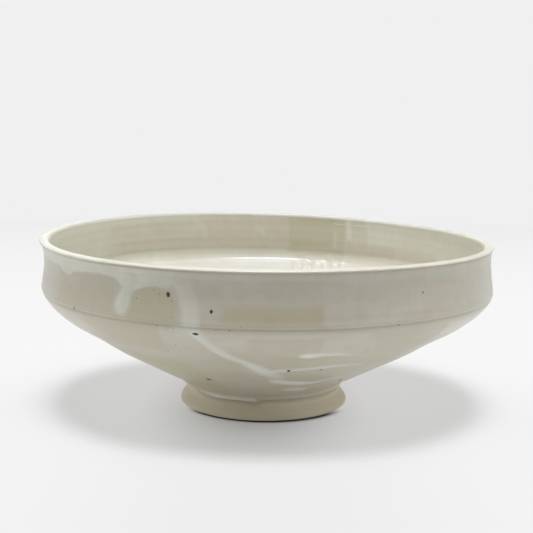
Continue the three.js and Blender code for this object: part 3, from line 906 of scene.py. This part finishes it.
def glaze_colour(tree, spot, x, y, rise, waver=1.0):
    """The glaze's colour from how thick and warm it lies, broken up by mottling, by level bands
    from the wheel and by fine streaks that run down. Returns the colour and the mottling."""
    thick = tree.attribute("thick")
    warm = tree.attribute("warm")
    mottle = tree.noise(spot, 20, 5, 0.6)
    bands = tree.noise(tree.vector(x * 0.05, y * 0.05, rise), 2.6, 3, 0.6)
    streaks = tree.noise(tree.vector(x, y, rise * 0.08), 3.2, 3, 0.55)
    cloud = tree.noise(spot, 5.5, 3, 0.6, 0.4)
    uneven = mottle.swing(0.4) + bands.swing(0.16) + streaks.swing(0.14) + cloud.swing(0.3)
    thick = thick + uneven * waver
    colour = TAN
    for low, high, shade in ((0, 0.5, MID), (0.5, 1, PALE), (1, 1.3, CREAM)):
        colour = tree.mix(thick.line(low, high), colour, shade)
    warm = warm + tree.noise(spot, 14).swing(0.6)
    colour = tree.mix((warm * -1).line(0, 1), colour, GREENISH, "MULTIPLY")
    colour = tree.mix(warm.line(0, 1), colour, PINKISH, "MULTIPLY")
    return colour, mottle


def outer_glaze():
    """Pale glaze outside, with a brown incised line, a brown crease that is partly painted shade, fine
    spots, pores and iron specks.
    """
    tree, spot, x, y, _ = begun("outer_glaze")
    rise = tree.attribute("rise")
    colour, mottle = glaze_colour(tree, spot, x, y, rise)
    radius = (x.squared() + y.squared()).math("SQRT")
    angle = tree.attribute("turn")
    line = rise.bump_at(RIDGE_HEIGHT - 0.05, 0.95) * 0.32
    line = line * (tree.noise(tree.vector(x, y, rise), 9, 2) * 0.9 + 0.45)
    aside = angle.between(-8, -22).larger(angle.between(40, 60))
    # The crease is painted brown: partly glaze that thins in it, partly painted shade under the lip's
    # overhang.
    crease = rise.between(CREASE_HEIGHT - 0.9, CREASE_HEIGHT - 0.1) * (aside * 0.25 + 0.3)
    colour = tree.mix(line.larger(crease), colour, LINE_BROWN)
    fine = tree.spots(spot, 2.4, 0.38, 0.42)
    colour = tree.mix(fine * 0.42, colour, SPOT_OUTSIDE)
    specks = iron_specks(tree, angle, rise, radius, spot) * y.between(0, -5)
    colour = tree.mix(specks, colour, IRON)
    pores = tree.spots(spot, 5, 0.35, 0.12, 0.8)
    height = tree.noise(spot, 7, 2, 0.4) * 0.25 - specks * 0.25 - pores * 0.2
    rough = 0.32 + mottle.swing(0.12) + specks * 0.3
    return tree.finish(colour, rough, height, 0.16)


def inner_glaze():
    """Pale glaze in the well: glossy on the cone, duller on the upright wall, and duller still to the
    right of the drip at the back."""
    tree, spot, x, y, _ = begun("inner_glaze")
    rise = tree.attribute("rise")
    back = x.math("ARCTAN2", y) * (180 / math.pi)  # degrees from the back towards +X
    colour, mottle = glaze_colour(tree, spot, x, y, rise, 0.8)
    fine = tree.spots(spot, 4, 0.25, 0.2)
    colour = tree.mix(fine * 0.35, colour, SPOT_INSIDE)
    bands = tree.noise(tree.vector(x * 0.04, y * 0.04, rise), 2, 3, 0.6)
    height = tree.noise(spot, 9, 2, 0.4) * 0.3 + bands * 0.25
    height = height * (rise.between(74, 62) * 0.8 + 0.2)
    dull = back.between(24.5, 26.5) * back.between(120, 60)
    rough = 0.17 + mottle.swing(0.1) + dull * 0.16 + rise.between(64, 72) * 0.2
    return tree.finish(colour, rough, height, 0.3)


def lip_cream():
    """The lip's paler glaze, cooler at the back, and brown where it meets the crease, a painted shade under
    the bead.
    """
    tree, spot, x, y, _ = begun("lip_glaze")
    colour, mottle = glaze_colour(tree, spot, x, y, tree.attribute("rise"), 0.8)
    colour = tree.mix(y.between(20, 90) * 0.5, colour, LIP_COOL)
    brown = tree.attribute("brown") * (tree.noise(spot, 4, 2) * 0.5 + 0.35)
    colour = tree.mix(brown, colour, LIP_UNDERSIDE_SHADE)
    height = tree.noise(spot, 2.5, 2) * 0.2
    return tree.finish(colour, 0.42 + mottle.swing(0.1), height, 0.3)


def bare_clay(name, light=1.0):
    """Bare fired stoneware: fine grog, turning lines, a brown band under the glaze's edge that is mostly
    painted shade with some flashing, and small iron dots.
    """
    tree, spot, x, y, z = begun(name)
    grain = tree.noise(spot, 0.7, 4, 0.65)
    cloud = tree.noise(spot, 14)
    lines = tree.noise(tree.vector(x * 0.03, y * 0.03, z), 0.8, 3, 0.6)
    share = 0.5 + grain.swing(0.5) + cloud.swing(0.7) + lines.swing(0.5)
    clay = [tuple(c * light for c in shade[:3]) + (1,) for shade in (CLAY_DARK, CLAY)]
    colour = tree.mix(share.between(0, 1), *clay)
    # Painted shade under the glaze's edge, with some flashing, broken up by the cloud.
    colour = tree.mix(tree.attribute("flash_and_shade") * (cloud * 0.5 + 0.5), colour, FLASH_AND_SHADE_BROWN)
    dots = tree.spots(spot, 2.2, 0.22, 0.25)
    colour = tree.mix(dots * 0.6, colour, CLAY_DOT)
    height = grain * 0.35 + lines * 0.5 - dots * 0.3
    return tree.finish(colour, 0.82 + grain.swing(0.2), height, 0.5, 0.6)


# Pieces on their body

def dress(piece, material, slot, *nodes):
    """Gives a piece its material and body, and hides the nodes that it replaces. The slot is not used."""
    piece.data.materials.append(material)
    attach(piece, "root")
    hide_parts(*nodes)
    return piece


glaze = outer_glaze()
clay = bare_clay("bare_clay")
dress(collar_glaze(), glaze, "outer_glaze", "outer_glaze", "collar_tear_run", "collar_streak_run")
dress(
    wall_glaze(), glaze, "outer_glaze", "outer_glaze",
    "wall_diagonal_run", "upper_wave_run", "lower_wave_run", "shoulder_run", "foot_glaze_roll",
)
dress(well_glaze(), inner_glaze(), "inner_glaze", "inner_glaze")
dress(lip_glaze(), lip_cream(), "lip_glaze", "lip_glaze")
dress(clay_body(), clay, "bare_clay", "bowl_body")
dress(foot_ring(), clay, "bare_clay", "foot_ring")
dress(slip_seam(), bare_clay("slip_clay", 0.85), "slip_clay", "foot_slip")


# Floor, backdrop and light

BACKDROP = tint(0.87, 0.87, 0.87348)
TABLE = tint(0.88, 0.88, 0.88)
TABLE_NEAR = tint(0.855, 0.875, 0.95)  # round the bowl: a painted cool tint that offsets the warm light the bowl throws down
PAINTED_CONTACT_SHADOW = tint(0.2, 0.2, 0.22)  # a painted contact shadow, where the foot's front edge touches down
GLOW_FRONT = tint(0.845, 0.845, 0.845)
GLOW_BACK = tint(0.93, 0.93, 0.93)
FLOOR_HALF = 6.0  # half the table's width in metres
CONTACT_SHADOW_RADIUS = 45.2  # radius within which the table is painted dark by the foot: a painted contact shadow


def floor():
    """A wide pale table with a glow mixed into it, which also lights the bowl from below. The glow is
    weaker under the bowl, a painted shadow, and none by the foot's front edge, a painted contact shadow;
    past an oval edge it is nearly all glow, which paints the shadow's edge, and far off it is all glow
    and becomes the backdrop."""
    mesh = bpy.data.meshes.new("pale_floor")
    corners = [(x * FLOOR_HALF, y * FLOOR_HALF, 0) for x, y in ((-1, -1), (1, -1), (1, 1), (-1, 1))]
    mesh.from_pydata(corners, [], [(0, 1, 2, 3)])
    tree, _, x, y, _ = begun("pale_floor")
    away = (x.squared() + y.squared()).math("SQRT")
    far = away.between(300, 1000)
    near = away.between(200, 80)
    back = y.between(-170, 110).larger(x.math("ABSOLUTE").between(15, 110) * 0.5)
    base = tree.mix(near, TABLE, TABLE_NEAR)
    front = y.between(-18, -32)
    # The table is painted dark where the foot's front edge touches down: a painted contact shadow.
    base = tree.mix(away.between(CONTACT_SHADOW_RADIUS + 1.4, CONTACT_SHADOW_RADIUS - 0.4) * front, base, PAINTED_CONTACT_SHADOW)
    light = tree.mix(back, GLOW_FRONT, GLOW_BACK)
    light = tree.mix(far, light, BACKDROP)
    matt = tree.node("BsdfDiffuse", None, {"Color": base})
    glow = tree.node("Emission", None, {"Color": light})
    oval = (((x + 6) * 1.9).squared() + (y + 15).squared()).math("SQRT")
    # No glow by the foot's front edge, which deepens the painted contact shadow.
    contact_shadow_mask = away.between(CONTACT_SHADOW_RADIUS + 3.8, CONTACT_SHADOW_RADIUS) * front
    # Under the bowl the glow is weaker: a painted shadow.
    glow_under_bowl = oval.between(-4, 125) * (1 - contact_shadow_mask) * (x * 0.0001 + 0.532)
    # Past the oval edge the table is nearly all glow, which paints the shadow's edge.
    glow_past_shadow = (x.squared() + (y * 1.22).squared()).math("SQRT").between(104, 142)
    share = glow_under_bowl + glow_past_shadow * (0.96 - glow_under_bowl)
    tree.show(tree.node("MixShader", None, {0: far.larger(share), 1: matt, 2: glow}))
    mesh.materials.append(tree.owner)
    placed("pale_floor", mesh)


def world(strength):
    """Even pale light from all round, and the backdrop where the camera, gloss or glass shows it."""
    sky = bpy.data.worlds.new("studio")
    bpy.context.scene.world = sky
    tree = Tree(sky)
    rays = ("Is Camera Ray", "Is Transmission Ray", "Is Glossy Ray")
    seen, through, gloss = (tree.node("LightPath", output=ray) for ray in rays)
    lighting = tree.node("Background", None, {"Color": tint(1, 1, 1), "Strength": strength})
    backdrop = tree.node("Background", None, {"Color": BACKDROP})
    sockets = {0: seen.larger(through).larger(gloss), 1: lighting, 2: backdrop}
    tree.show(tree.node("MixShader", None, sockets), "OutputWorld")


def softbox(name, place, size, power, shines, aim=(0, 0, 0.05), tone=(1, 1, 1)):
    """A rectangular lamp at a place, turned to an aim. It either shines in the glaze as a reflection
    or lights everything."""
    lamp = bpy.data.lights.new(name, "AREA")
    lamp.shape = "RECTANGLE"
    lamp.size, lamp.size_y = size
    lamp.energy = power
    lamp.color = tone
    held = placed(name, lamp)
    held.location = place
    to_bowl = Vector(aim) - Vector(place)
    held.rotation_euler = to_bowl.to_track_quat("-Z", "Y").to_euler()
    held.visible_diffuse = not shines
    held.visible_glossy = shines


def camera():
    """The photograph's view: a 70 mm lens, 0.55 m off, a little above the rim."""
    lens = bpy.data.cameras.new("view")
    lens.lens = 70
    lens.sensor_width = 36
    held = placed("view", lens)
    distance, height, aside = 552.25, 157.34, 0.125
    pitch, roll = 0.15155, 0.01216
    ahead = np.array([0, math.cos(pitch), -math.sin(pitch)])
    right = np.array([1, 0, 0])
    up = np.cross(right, ahead)
    right, up = math.cos(roll) * right + math.sin(roll) * up, math.cos(roll) * up - math.sin(roll) * right
    turn = Matrix(np.c_[right, up, -ahead].tolist()).to_4x4()
    held.matrix_world = Matrix.Translation((aside * MM, -distance * MM, height * MM)) @ turn
    bpy.context.scene.camera = held


floor()
world(0.14)
softbox("overhead", (0, -0.15, 1.12), (0.5, 0.4), 12.2, shines=False)
softbox("glint", (0, -0.15, 1.04), (0.46, 0.37), 8, shines=True, tone=(0.74, 0.77, 1))
softbox("left", (-1.3, -0.1, 0.45), (0.8, 0.8), 4.1, shines=False)
softbox("right", (1.3, -0.15, 0.35), (0.8, 0.6), 3.55, shines=False)
softbox("well_shine", (0, -0.11, 1.1), (0.9, 1.18), 6, shines=True, aim=(0, -0.11, 0), tone=(0.5, 0.58, 1))
camera()
bpy.context.scene.view_settings.view_transform = "Standard"
